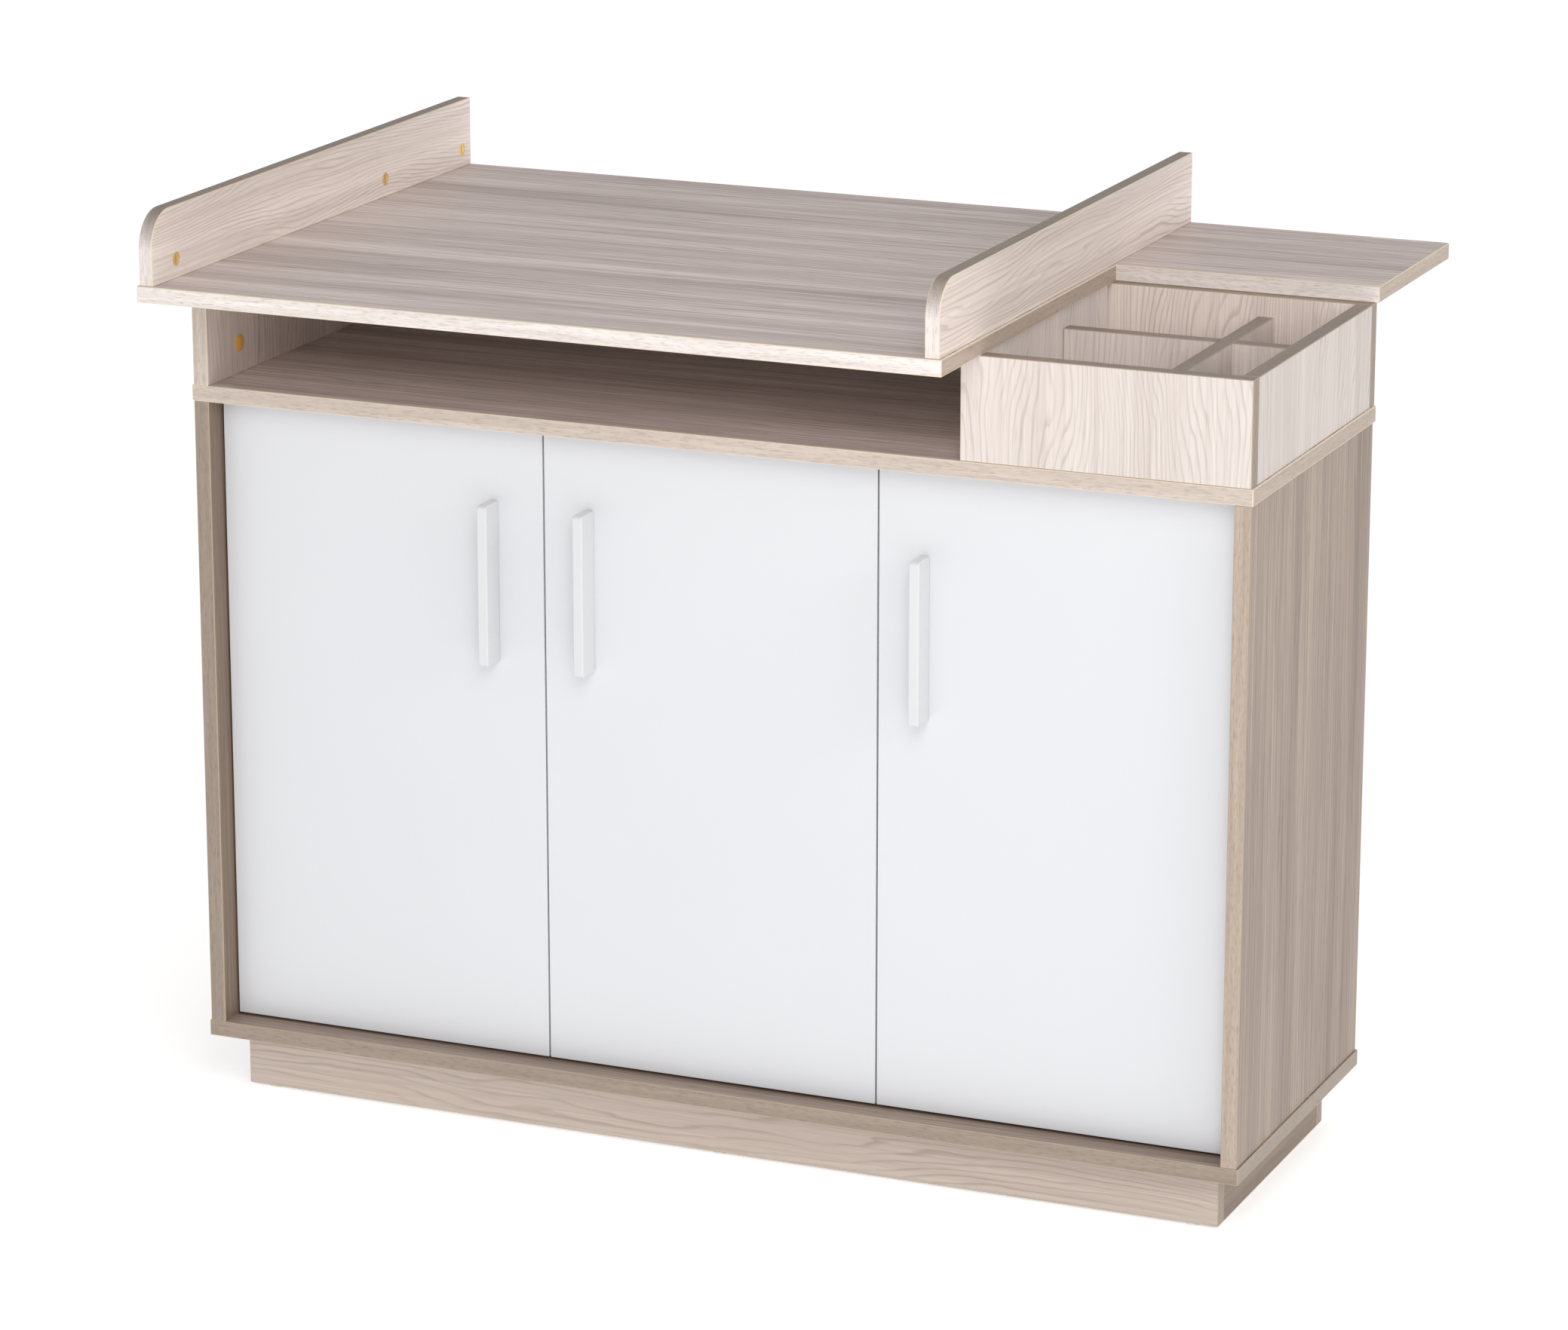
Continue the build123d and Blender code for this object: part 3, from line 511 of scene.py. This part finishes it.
BEECH = smooth_finish("beech_raw", "#c79a68", 0.6, 0.8, 0.8 * MM, gap=0.1, depth=0.1)
CHIP = smooth_finish("chipboard_core", "#a88a63", 0.8, 0.95, 1.4 * MM, gap=0.2, depth=0.3)
print(len(bpy.data.materials), "materials")

# %% [markdown]
# ## A banded board
# A board is a cube primitive at the CAD node's size and place.  Its two broad faces take the
# print, its narrow faces take the band, and a small bevel all round takes the plain plastic of the
# cut band, light brown as painted shade on shaded bands.  Faces that look one way can take darker
# or paler copies as painted shade and light.  The bevel is 0.9 mm, as a trimming cutter leaves it.

# %% Board from a CAD box
ARRIS_SIZE = 0.9 * MM
X, Y, Z = 0, 1, 2
GRAIN_STEP = 7.3      # keeps the boards' places in the noises well apart
boards = []


def board(name, low, high):
    """A cube primitive between two corners, with its place in its mesh."""
    low, high = Vector(low), Vector(high)
    bpy.ops.object.select_all(action="DESELECT")
    bpy.ops.mesh.primitive_cube_add(size=1, location=(low + high) / 2, scale=high - low)
    piece = bpy.context.object
    piece.name = name
    settle(piece)
    return piece


def slot_for(piece, material):
    """The number of a material's slot on a piece, made if it is not there yet."""
    if material.name not in piece.data.materials:
        piece.data.materials.append(material)
    return piece.data.materials.find(material.name)


def dress(piece, thin, face, band, light_and_shade_by_side=None):
    """Print on the broad faces, band on the narrow ones, and by direction darker or paler copies:
    painted shade and painted light.
    """
    light_and_shade_by_side = light_and_shade_by_side or {}
    # The bevel of a shaded band takes the light brown arris, painted shade too.
    cut = ARRIS if band in (BAND_UPSTAND_TOP_SHADED, BAND_MID) else ARRIS_SHADED
    for polygon in piece.data.polygons:
        normal = polygon.normal
        main = max(range(3), key=lambda axis: abs(normal[axis]))
        side = 1 if normal[main] > 0 else -1
        usual = face if abs(normal[thin]) > 0.5 else band
        polygon.material_index = slot_for(piece, light_and_shade_by_side.get((main, side), usual))
    apply_modifier(
        piece, "BEVEL", width=ARRIS_SIZE, segments=3, limit_method="ANGLE",
        angle_limit=CORNER_ANGLE, material=slot_for(piece, cut),
    )


def mark_grain(piece, thin, grain):
    """Write each corner's place in the grain, and how far its face turns to look up, for painted shade.

    The place is metres along the grain, metres across it, and the board's own number.
    """
    number = GRAIN_STEP * (1 + len(boards))
    across = 3 - thin - grain
    mesh = piece.data
    values = []
    turns = []
    for polygon in mesh.polygons:
        flat = abs(polygon.normal[thin]) > 0.5
        for corner in polygon.loop_indices:
            turns.append(max(0.0, polygon.normal.z))
            spot = mesh.vertices[mesh.loops[corner].vertex_index].co
            if flat:
                values += [spot[grain], spot[across], number]
            else:
                values += [spot[grain] + spot[across], spot[thin], number]
    mesh.attributes.new("grain", "FLOAT_VECTOR", "CORNER").data.foreach_set("vector", values)
    mesh.attributes.new("turn", "FLOAT", "CORNER").data.foreach_set("value", turns)
    boards.append(piece)


def thin_axis(low, high):
    """The axis along which a box is thinnest."""
    size = high - low
    return min(range(3), key=lambda axis: size[axis])


def banded_board(node, grain, face, band, light_and_shade_by_side=None):
    """Rebuild one plain board of the CAD model."""
    low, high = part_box(node)
    thin = thin_axis(low, high)
    piece = board(node + "_banded", low, high)
    dress(piece, thin, face, band, light_and_shade_by_side)
    mark_grain(piece, thin, grain)
    finish_piece(piece, node)


# %% [markdown]
# ## Carcass boards
# The two through boards, the shelves and the rail behind the bay have their grain from left to
# right; side panels, partition, the bay's upright and the organiser's walls have it upright; the
# plinth's grain lies along the floor.

# %% Plain boards
# Finishes by direction below are painted light and shade: the middle board's right end, the bay rail's
# back and the organiser's right-hand face take darker copies, and the shaded inner faces of the bay's
# upright and the organiser's back take the paler flat-sawn print.
banded_board("bottom_board", X, ELM_SHADED, BAND_SHADED)
banded_board("middle_board", X, ELM_BAY, BAND_MID, {(X, 1): BAND_HALF_SHADED})
banded_board("bay_back_rail", X, ELM_BAY, BAND_MID, {(Y, 1): ELM_SHADED})
banded_board("bay_support_left", Z, ELM_SHADED, BAND_MID, {(X, 1): ELM_FLAT_SAWN_LIT})
for node in ("shelf_left", "shelf_right"):
    banded_board(node, X, ELM_SHADED, BAND_MID)
banded_board("organiser_back", Z, ELM_SHADED, BAND_DEEP_SHADED, {(Y, -1): ELM_FLAT_SAWN_LIT})
banded_board("organiser_right", Z, ELM_PALE, BAND_DEEP_SHADED, {(X, 1): ELM_RIGHT_FACE_SHADED})
for node in ("organiser_front", "organiser_left"):
    banded_board(node, Z, ELM_PALE, BAND_DEEP_SHADED)
for node in ("plinth_front", "plinth_back"):
    banded_board(node, X, ELM_PLINTH, BAND_SHADED)
for node in ("plinth_rail", "plinth_side_left", "plinth_side_right"):
    banded_board(node, Y, ELM_DEEP_SHADED, BAND_SHADED)
print(len(boards), "plain boards")

# %% [markdown]
# ## Bored boards
# A cam fitting sits in a round blind bore.  The bore is a cylinder taken away with a Boolean
# modifier, and its wall shows the bare chipboard core.  The places come from the CAD cams.

# %% Bores
CAM_BORE = 15 * MM
BORE_DEPTH = 12.5 * MM
TOOL_SPARE = 1 * MM       # a cutting tool stands out of the face by this much
BORE_SLACK = 0.2 * MM     # a bore's faces lie within its radius and this much more,
SKIN = 0.05 * MM          # and deeper in the board than this


def islands(node):
    """The boxes of a CAD node's separate solids, found by growing along its triangles."""
    mesh = frame["nodes"][node].data
    keys = [tuple(round(value, 5) for value in vertex.co) for vertex in mesh.vertices]
    parent = {key: key for key in keys}

    def root(key):
        """The corner that stands for all those joined to this one so far."""
        while parent[key] != key:
            parent[key] = parent[parent[key]]
            key = parent[key]
        return key

    for polygon in mesh.polygons:
        first, *others = [root(keys[corner]) for corner in polygon.vertices]
        for other in others:
            parent[root(other)] = root(first)
    groups = {}
    for key in parent:
        groups.setdefault(root(key), []).append(key)
    found = []
    for points in groups.values():
        low = Vector(min(point[axis] for point in points) for axis in range(3))
        high = Vector(max(point[axis] for point in points) for axis in range(3))
        found.append((low, high))
    return sorted(found, key=lambda corners: tuple(round(value, 4) for value in corners[0]))


def bore(piece, centre, axis, side, diameter, depth):
    """Take a blind bore out of a face: axis is its direction, side the way the face looks."""
    turn = {X: (0, math.pi / 2, 0), Y: (math.pi / 2, 0, 0), Z: (0, 0, 0)}[axis]
    middle = Vector(centre)
    middle[axis] += side * (TOOL_SPARE - depth) / 2
    bpy.ops.object.select_all(action="DESELECT")
    bpy.ops.mesh.primitive_cylinder_add(
        vertices=ROUND_SIDES, radius=diameter / 2, depth=depth + TOOL_SPARE, location=middle,
        rotation=turn,
    )
    tool = bpy.context.object
    settle(tool)
    apply_modifier(piece, "BOOLEAN", operation="DIFFERENCE", object=tool, solver="EXACT")
    reach = diameter / 2 + BORE_SLACK
    for polygon in piece.data.polygons:
        gap = polygon.center - middle
        gap[axis] = 0
        inside = side * (centre[axis] - polygon.center[axis]) > SKIN
        if gap.length < reach and inside:
            polygon.material_index = slot_for(piece, CHIP)
    bpy.data.objects.remove(tool)


def bored_board(node, grain, face, band, cams, light_and_shade_by_side=None):
    """A banded board with a bore for each CAD cam that sits in it."""
    low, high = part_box(node)
    thin = thin_axis(low, high)
    piece = board(node + "_banded", low, high)
    dress(piece, thin, face, band, light_and_shade_by_side)
    for cam_low, cam_high in islands(cams):
        middle = (cam_low + cam_high) / 2
        if all(low[axis] < middle[axis] < high[axis] for axis in range(3)):
            side = 1 if high[thin] - cam_high[thin] < cam_low[thin] - low[thin] else -1
            middle[thin] = high[thin] if side > 0 else low[thin]
            bore(piece, middle, thin, side, CAM_BORE, BORE_DEPTH)
    mark_grain(piece, thin, grain)
    finish_piece(piece, node)


# The left panel's inner face takes the deepest painted shade.
bored_board("side_panel_left", Z, ELM_SHADED, BAND_SHADED, "carcass_cams", {(X, 1): ELM_DEEP_SHADED})
bored_board("side_panel_right", Z, ELM_SHADED, BAND_HALF_SHADED, "carcass_cams")
bored_board("partition", Z, ELM_SHADED, BAND_SHADED, "carcass_cams")
print("side panels and partition bored for", len(islands("carcass_cams")), "cams")

# %% [markdown]
# ## Dividers
# The two dividers cross in a half-lap: the long one is cut from below and the cross one from
# above, so that their tops are level.  Each starts as a board and has its slot taken out.

# %% Dividers
LAP_PLAY = 0.2 * MM


def lapped_board(node, other):
    """A divider board with the slot that its partner sits in."""
    low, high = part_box(node)
    thin = thin_axis(low, high)
    run = Y if thin == X else X
    piece = board(node + "_banded", low, high)
    dress(piece, thin, ELM_PALE, BAND_DEEP_SHADED)
    partner_low, partner_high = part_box(other)
    spare = Vector((1, 1, 1)) * TOOL_SPARE
    slot_low, slot_high = low - spare, high + spare
    slot_low[run] = partner_low[run] - LAP_PLAY
    slot_high[run] = partner_high[run] + LAP_PLAY
    half = (low[Z] + high[Z]) / 2
    if node == "divider_long":
        slot_high[Z] = half
    else:
        slot_low[Z] = half
    tool = board("slot_tool", slot_low, slot_high)
    apply_modifier(piece, "BOOLEAN", operation="DIFFERENCE", object=tool, solver="EXACT")
    bpy.data.objects.remove(tool)
    mark_grain(piece, thin, Z)
    finish_piece(piece, node)


lapped_board("divider_long", "divider_cross")
lapped_board("divider_cross", "divider_long")
print("dividers lapped")

# %% [markdown]
# ## The changing top
# The top is one L-shaped board.  It starts as the deep changing part; the right-hand face is cut
# at the shelf's front edge, and the rear part of that face is pulled out to the shelf's end.

# %% Changing top
SHELF_LAP = 6 * MM        # the shelf part laps the organiser's back wall by this much
top_low, top_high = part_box("changing_top")
upstand_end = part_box("upstand_right")[1][X]
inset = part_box("upstand_left")[0][X] - top_low[X]
changing_right = upstand_end + inset
shelf_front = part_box("organiser_back")[1][Y] - SHELF_LAP

top = board("changing_top_banded", top_low, (changing_right, top_high[Y], top_high[Z]))
pick_faces(top, lambda middle, normal: normal.x > 0.5)
bpy.ops.mesh.select_all(action="SELECT")
bpy.ops.mesh.bisect(plane_co=(0, shelf_front, 0), plane_no=(0, 1, 0))
leave_edit()
pick_faces(top, lambda middle, normal: normal.x > 0.5 and middle.y > shelf_front)
bpy.ops.mesh.extrude_region_move(
    TRANSFORM_OT_translate={"value": (top_high[X] - changing_right, 0, 0)}
)
leave_edit()
# The top's front edge takes the pale band as painted light, its right end a band with painted shade.
dress(top, Z, ELM_TOP, BAND_MID, {(Y, -1): BAND_LIT, (X, 1): BAND_HALF_SHADED})
mark_grain(top, Z, X)
finish_piece(top, "changing_top")
print("top:", len(top.data.polygons), "faces")

# %% [markdown]
# ## Upstands
# Each upstand is a 16 mm board with its upper front corner rounded to a 40 mm radius by an edge
# bevel with many segments.  The band follows the curve, pale in front and darker as painted shade
# where it turns to look up, and three cams show in the inner face.

# %% Upstands
CORNER_RADIUS = 40 * MM
CORNER_STEPS = 18
for node in ("upstand_left", "upstand_right"):
    low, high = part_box(node)
    piece = board(node + "_banded", low, high)
    pick_edges(
        piece,
        lambda start, end: min(start.z, end.z) > high.z - MM and max(start.y, end.y) < low.y + MM,
    )
    bpy.ops.mesh.bevel(offset=CORNER_RADIUS, segments=CORNER_STEPS, affect="EDGES")
    leave_edit()
    dress(piece, X, ELM_FLAT_SAWN_LIT, BAND_UPSTAND_TOP_SHADED)
    for cam_low, cam_high in islands("upstand_cams"):
        middle = (cam_low + cam_high) / 2
        if low.x < middle.x < high.x:
            side = 1 if node == "upstand_left" else -1
            middle.x = high.x if side > 0 else low.x
            bore(piece, middle, X, side, CAM_BORE, BORE_DEPTH)
    mark_grain(piece, X, Y)
    finish_piece(piece, node)
print("upstands:", [len(upstand.data.polygons) for upstand in boards[-2:]], "faces")

# %% [markdown]
# ## Cam fittings
# A cam is a cylinder of yellow passivated zinc with a slot for the screwdriver and a raised rim.
# An inset leaves the rim, its middle is pushed in, and a Boolean modifier takes the slot out.  One
# cam is modelled and copied into each bore, turned to face out of it.

# %% Cams in the upstands
def cam_model():
    """One cam with a rim and an upright slot; the board's face is at x = 0 and it looks along X."""
    radius, depth, recess = 7.3 * MM, 11.5 * MM, 0.2 * MM
    rim, dish = 0.9 * MM, 0.3 * MM
    half_slot = Vector((3.2, 0.8, 5)) * MM
    bpy.ops.object.select_all(action="DESELECT")
    bpy.ops.mesh.primitive_cylinder_add(
        vertices=ROUND_SIDES, radius=radius, depth=depth, location=(-recess - depth / 2, 0, 0),
        rotation=(0, math.pi / 2, 0),
    )
    cam = bpy.context.object
    settle(cam)
    pick_faces(cam, lambda middle, normal: normal.x > 0.9)
    bpy.ops.mesh.inset(thickness=rim)
    bpy.ops.mesh.extrude_region_move(TRANSFORM_OT_translate={"value": (-dish, 0, 0)})
    leave_edit()
    tool = board("slot_tool", -half_slot, half_slot)
    apply_modifier(cam, "BOOLEAN", operation="DIFFERENCE", object=tool, solver="EXACT")
    bpy.data.objects.remove(tool)
    only(cam)
    bpy.ops.object.shade_smooth_by_angle(angle=SMOOTH_ANGLE)
    cam.data.materials.append(CAM_ZINC)
    return cam


cam = cam_model()
cams = []
for low, high in islands("upstand_cams"):
    middle = (low + high) / 2
    left = middle.x < 0
    middle.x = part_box("upstand_left")[1].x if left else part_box("upstand_right")[0].x
    cams.append(copy_to(cam, "upstand_cam_%d" % len(cams), middle, 0.0 if left else math.pi))
bpy.data.objects.remove(cam)
finish_piece(join("upstand_cams_zinc", cams), "upstand_cams")
print(len(cams), "cams in the upstands")

# %% [markdown]
# ## Cover caps
# The caps are low ochre domes that hide the cams of the bay.  Only what stands out of the board is
# modelled: a thin disc, inset ring by ring, and each ring is lifted to the height of a ball there.

# %% Cover caps
DOME_SMOOTH = math.radians(50)


def cap_model(radius):
    """A low dome on a thin rim, looking along X; at x = 0 the CAD cap's hidden spigot ends."""
    spigot, rim, height, steps = 1 * MM, 0.6 * MM, 2.4 * MM, 5
    bpy.ops.object.select_all(action="DESELECT")
    bpy.ops.mesh.primitive_cylinder_add(
        vertices=ROUND_SIDES, radius=radius, depth=rim, location=(spigot + rim / 2, 0, 0),
        rotation=(0, math.pi / 2, 0),
    )
    cap = bpy.context.object
    settle(cap)
    rise = height - rim
    ball = (radius**2 + rise**2) / (2 * rise)
    at = radius
    out = 0.0
    pick_faces(cap, lambda middle, normal: normal.x > 0.9)
    for step in range(1, steps + 1):
        new = radius * (1 - step / (steps + 1))
        level = math.sqrt(ball**2 - new**2) - (ball - rise)
        bpy.ops.mesh.inset(thickness=at - new)
        bpy.ops.transform.translate(value=(level - out, 0, 0))
        at, out = new, level
    leave_edit()
    only(cap)
    bpy.ops.object.shade_smooth_by_angle(angle=DOME_SMOOTH)
    cap.data.materials.append(CAP_PLASTIC)
    return cap


places = islands("cover_caps")
cap = cap_model((places[0][1].y - places[0][0].y) / 2)
caps = []
for low, high in places:
    middle = (low + high) / 2
    left = middle.x < 0
    middle.x = low.x if left else high.x
    caps.append(copy_to(cap, "cover_cap_%d" % len(caps), middle, 0.0 if left else math.pi))
bpy.data.objects.remove(cap)
finish_piece(join("cover_caps_domed", caps), "cover_caps")
print(len(caps), "cover caps")

# %% [markdown]
# ## Doors
# A door is white melamine on a 16 mm board with a matching band, so all its faces look alike; the
# edges are eased by a little over half a millimetre.  The hinge cups sit in bores in its back.

# %% Door leaves
EASE = 0.6 * MM
CUP_BORE = 35 * MM
CUP_DEPTH = 12 * MM
DOORS = ("door_left", "door_middle", "door_right")
for door in DOORS:
    low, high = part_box(door + "_panel")
    leaf = board(door + "_panel_white", low, high)
    slot_for(leaf, WHITE_DOOR)
    apply_modifier(leaf, "BEVEL", width=EASE, segments=2, limit_method="ANGLE")
    for cup_low, cup_high in islands(door + "_hinge_cups"):
        middle = (cup_low + cup_high) / 2
        middle.y = high.y
        bore(leaf, middle, Y, 1, CUP_BORE, CUP_DEPTH)
    finish_piece(leaf, door + "_panel")
print("door leaves:", DOORS)

# %% [markdown]
# ## Bar handles
# The handle is a solid bar: narrow in front, deep towards the door, with a larger rounding at its
# two front ends and a small one along every edge.  One is modelled and copied to the other doors.

# %% Handles
END_RADIUS = 4 * MM
EDGE_RADIUS = 1.2 * MM
END_STEPS, EDGE_STEPS = 6, 4


def bar_handle(node):
    """A bevelled bar between the corners of its CAD node."""
    low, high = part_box(node)
    piece = board(node + "_bar", low, high)
    pick_edges(
        piece,
        lambda start, end: max(start.y, end.y) < low.y + MM and abs(start.z - end.z) < MM,
    )
    bpy.ops.mesh.bevel(offset=END_RADIUS, segments=END_STEPS, affect="EDGES")
    leave_edit()
    apply_modifier(
        piece, "BEVEL", width=EDGE_RADIUS, segments=EDGE_STEPS, limit_method="ANGLE",
        angle_limit=CORNER_ANGLE,
    )
    only(piece)
    bpy.ops.object.shade_smooth_by_angle(angle=SMOOTH_ANGLE)
    apply_modifier(piece, "WEIGHTED_NORMAL", weight=100, keep_sharp=True)
    piece.data.materials.append(WHITE_HANDLE)
    return piece


first_node, *other_nodes = [door + "_handle" for door in DOORS]
handle = bar_handle(first_node)
finish_piece(handle, first_node)
for node in other_nodes:
    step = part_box(node)[0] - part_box(first_node)[0]
    finish_piece(copy_to(handle, node + "_bar", step), node)
print("handles:", [round(size / MM, 1) for size in handle.dimensions], "mm")

# %% [markdown]
# ## Pieces kept from the CAD model
# Back panels, nails, dowels, screws, hinges, pins and glides already have the right shape, so
# they stay and only get their finish.

# %% Finishes of the kept nodes
FINISH = {
    "white_hardboard": HARDBOARD,
    "zinc_steel": ZINC,
    "hinge_nickel": NICKEL,
    "cam_yellow": CAM_ZINC,
    "glide_plastic": PLASTIC,
    "bumper_clear": BUMPER,
    "beech_dowel": BEECH,
}
kept = 0
for node, obj in frame["nodes"].items():
    if SLOT_OF[node] in FINISH:
        obj.data.materials.clear()
        obj.data.materials.append(FINISH[SLOT_OF[node]])
        kept += 1
print(kept, "CAD nodes with a finish")

# %% [markdown]
# ## Floor
# A plain pale floor, wide enough to fill the view to the back.  It glows a little, like the
# translucent table of a product studio, so that it stays white where the lamps do not reach.

# %% Floor
FLOOR_SIZE = 60.0
FLOOR_GLOW = 0.5
bpy.ops.object.select_all(action="DESELECT")
bpy.ops.mesh.primitive_plane_add(size=FLOOR_SIZE, location=(0, 0, 0))
floor = bpy.context.object
floor.name = "studio_floor"
paint = smooth_finish("painted_floor", "#f4f4f4", 0.6, 0.8, 20 * MM, gap=0.004)
glow = paint.node_tree.nodes["Principled BSDF"].inputs
glow["Emission Color"].default_value = (1.0, 1.0, 1.0, 1)
glow["Emission Strength"].default_value = FLOOR_GLOW
floor.data.materials.append(paint)
floor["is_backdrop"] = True
print("floor laid")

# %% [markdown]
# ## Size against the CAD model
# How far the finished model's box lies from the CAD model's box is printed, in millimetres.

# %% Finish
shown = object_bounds()
growth = [abs(new - old) / MM for pair in zip(CAD_BOX, shown) for old, new in zip(*pair)]
print("grows by", [round(change, 2) for change in growth], "mm")
